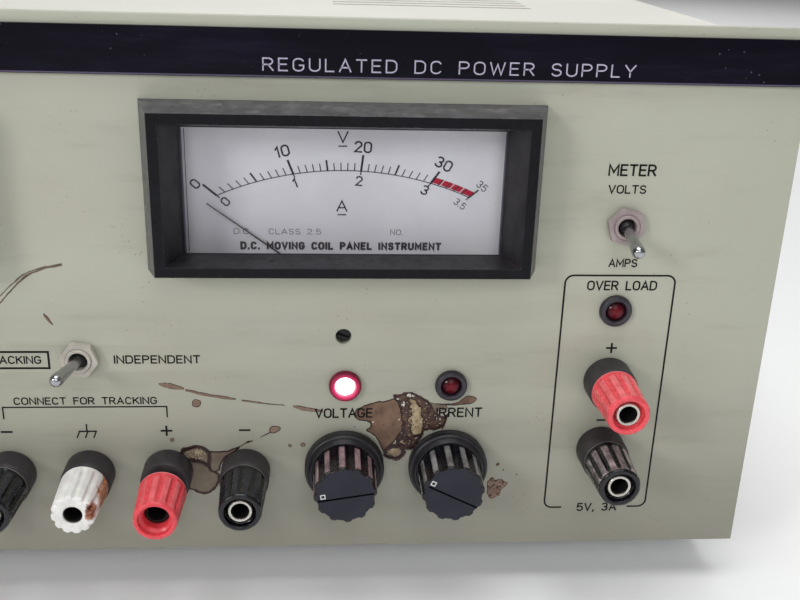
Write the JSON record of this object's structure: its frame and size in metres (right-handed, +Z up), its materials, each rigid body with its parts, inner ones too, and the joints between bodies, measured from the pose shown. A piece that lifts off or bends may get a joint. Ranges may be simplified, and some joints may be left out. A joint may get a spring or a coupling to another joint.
{
  "type": "bench power supply",
  "caption": "Bench power supply with two adjustable outputs and one fixed output, needle meters, toggle switches, rotary controls and screw terminals on a flat grey panel.",
  "frame": {"origin": "centre of the overall box at the level the feet stand on", "axes": "+X to the right seen from the front, -Y out of the front panel, +Z up"},
  "size_m": [0.333, 0.3406, 0.145],
  "materials": {
    "panel_paint": "satin grey panel enamel",
    "strip_black": "glossy",
    "case_paint": "pale textured enamel",
    "bare_aluminium": "satin",
    "black_anodised": "black anodised",
    "rubber_black": "matt",
    "zinc_steel": "zinc plated",
    "core_steel": "varnished laminations",
    "coil_wrap": "yellow insulating wrap",
    "black_plastic": "moulded",
    "gloss_black_plastic": "moulded, gloss",
    "board_green": "solder mask",
    "capacitor_sleeve": "shrink sleeve",
    "nylon_white": "natural",
    "meter_pane": "clear",
    "dial_silver": "pale grey lacquer",
    "needle_black": "matt lacquer",
    "knob_black": "moulded",
    "knob_disc": "satin insert",
    "chrome_bright": "plated",
    "lamp_lit_red": "lit lens",
    "lamp_dark_red": "unlit lens",
    "cap_red": "moulded",
    "cap_black": "moulded",
    "cap_white": "moulded",
    "collar_grey": "moulded"
  },
  "bodies": {
    "chassis": {"front_panel": "panel_paint", "nameplate_strip": "strip_black", "top_cover": "case_paint", "bottom_plate": "bare_aluminium", "side_panels": "case_paint", "rear_panel": "bare_aluminium", "frame_rails": "bare_aluminium", "rubber_feet": "rubber_black", "case_screws": "zinc_steel", "transformer_core": "core_steel", "transformer_coil": "coil_wrap", "heatsinks": "black_anodised", "power_semiconductors": "black_plastic", "regulator_board": "board_green", "filter_capacitors": "capacitor_sleeve", "board_standoffs": "nylon_white", "meter_bezels": "black_plastic", "meter_windows": "meter_pane", "meter_dials": "dial_silver", "meter_housings": "black_plastic", "potentiometers": "zinc_steel", "panel_nuts": "chrome_bright", "lamp_bezels": "black_plastic", "lamps_lit": "lamp_lit_red", "lamps_dark": "lamp_dark_red", "toggle_bodies": "chrome_bright", "toggle_nuts": "chrome_bright", "post_collars": "collar_grey", "post_studs": "chrome_bright", "power_switch_body": "black_plastic", "fuse_holder": "black_plastic", "cord_bush": "black_plastic"},
    "knob_right_voltage_body": {"knob_right_voltage": "knob_black", "knob_disc_right_voltage": "knob_disc", "shaft_right_voltage": "bare_aluminium"},
    "knob_right_current_body": {"knob_right_current": "knob_black", "knob_disc_right_current": "knob_disc", "shaft_right_current": "bare_aluminium"},
    "knob_left_voltage_body": {"knob_left_voltage": "knob_black", "knob_disc_left_voltage": "knob_disc", "shaft_left_voltage": "bare_aluminium"},
    "knob_left_current_body": {"knob_left_current": "knob_black", "knob_disc_left_current": "knob_disc", "shaft_left_current": "bare_aluminium"},
    "cap_left_red_body": {"cap_left_red": "cap_red"},
    "cap_left_black_body": {"cap_left_black": "cap_black"},
    "cap_ground_white_body": {"cap_ground_white": "cap_white"},
    "cap_right_red_body": {"cap_right_red": "cap_red"},
    "cap_right_black_body": {"cap_right_black": "cap_black"},
    "cap_third_red_body": {"cap_third_red": "cap_red"},
    "cap_third_black_body": {"cap_third_black": "cap_black"},
    "lever_tracking_body": {"lever_tracking": "chrome_bright"},
    "lever_left_meter_body": {"lever_left_meter": "chrome_bright"},
    "lever_right_meter_body": {"lever_right_meter": "chrome_bright"},
    "power_rocker_body": {"power_rocker": "gloss_black_plastic"},
    "needle_right_body": {"needle_right": "needle_black"},
    "zero_screw_right_body": {"zero_screw_right": "black_plastic"},
    "needle_left_body": {"needle_left": "needle_black"},
    "zero_screw_left_body": {"zero_screw_left": "black_plastic"},
    "fuse_cap_body": {"fuse_cap": "black_plastic"}
  },
  "joints": [
    {"name": "right_voltage_turn", "type": "hinge", "parent": "chassis", "child": "knob_right_voltage_body", "pos_m": [0.0627, -0.1477, 0.0363], "axis": [0, 1, 0], "range_deg": [-60, 240]},
    {"name": "right_current_turn", "type": "hinge", "parent": "chassis", "child": "knob_right_current_body", "pos_m": [0.0887, -0.1477, 0.0363], "axis": [0, 1, 0], "range_deg": [-89, 211]},
    {"name": "left_voltage_turn", "type": "hinge", "parent": "chassis", "child": "knob_left_voltage_body", "pos_m": [-0.0887, -0.1477, 0.0363], "axis": [0, 1, 0], "range_deg": [-75, 225]},
    {"name": "left_current_turn", "type": "hinge", "parent": "chassis", "child": "knob_left_current_body", "pos_m": [-0.0627, -0.1477, 0.0363], "axis": [0, 1, 0], "range_deg": [-110, 190]},
    {"name": "left_red_screw", "type": "slide", "parent": "chassis", "child": "cap_left_red_body", "axis": [0, -1, 0], "range_m": [0, 0.006]},
    {"name": "left_black_screw", "type": "slide", "parent": "chassis", "child": "cap_left_black_body", "axis": [0, -1, 0], "range_m": [0, 0.006]},
    {"name": "ground_white_screw", "type": "slide", "parent": "chassis", "child": "cap_ground_white_body", "axis": [0, -1, 0], "range_m": [0, 0.006]},
    {"name": "right_red_screw", "type": "slide", "parent": "chassis", "child": "cap_right_red_body", "axis": [0, -1, 0], "range_m": [-0.003, 0.003]},
    {"name": "right_black_screw", "type": "slide", "parent": "chassis", "child": "cap_right_black_body", "axis": [0, -1, 0], "range_m": [0, 0.006]},
    {"name": "third_red_screw", "type": "slide", "parent": "chassis", "child": "cap_third_red_body", "axis": [0, -1, 0], "range_m": [0, 0.006]},
    {"name": "third_black_screw", "type": "slide", "parent": "chassis", "child": "cap_third_black_body", "axis": [0, -1, 0], "range_m": [0, 0.006]},
    {"name": "tracking_toggle", "type": "hinge", "parent": "chassis", "child": "lever_tracking_body", "pos_m": [0, -0.1487, 0.0657], "axis": [0, 0, 1], "range_deg": [0, 26]},
    {"name": "left_meter_toggle", "type": "hinge", "parent": "chassis", "child": "lever_left_meter_body", "pos_m": [-0.1277, -0.1487, 0.0995], "axis": [-1, 0, 0], "range_deg": [0, 26]},
    {"name": "right_meter_toggle", "type": "hinge", "parent": "chassis", "child": "lever_right_meter_body", "pos_m": [0.1277, -0.1487, 0.0995], "axis": [-1, 0, 0], "range_deg": [0, 26]},
    {"name": "power_rock", "type": "hinge", "parent": "chassis", "child": "power_rocker_body", "pos_m": [-0.1277, -0.1457, 0.052], "axis": [1, 0, 0], "range_deg": [0, 20]},
    {"name": "right_needle_swing", "type": "hinge", "parent": "chassis", "child": "needle_right_body", "pos_m": [0.0622, -0.1449, 0.0801], "axis": [0, 1, 0], "range_deg": [-1.5, 107], "stiffness_Nm_per_rad": 0.00001},
    {"name": "right_zero_turn", "type": "hinge", "parent": "chassis", "child": "zero_screw_right_body", "pos_m": [0.0622, -0.1468, 0.0712], "axis": [0, 1, 0], "range_deg": [-20, 20]},
    {"name": "left_needle_swing", "type": "hinge", "parent": "chassis", "child": "needle_left_body", "pos_m": [-0.0622, -0.1449, 0.0801], "axis": [0, 1, 0], "range_deg": [-1.5, 107], "stiffness_Nm_per_rad": 0.00001},
    {"name": "left_zero_turn", "type": "hinge", "parent": "chassis", "child": "zero_screw_left_body", "pos_m": [-0.0622, -0.1468, 0.0712], "axis": [0, 1, 0], "range_deg": [-20, 20]},
    {"name": "fuse_cap_pull", "type": "slide", "parent": "chassis", "child": "fuse_cap_body", "axis": [0, 1, 0], "range_m": [0, 0.02]}
  ]
}
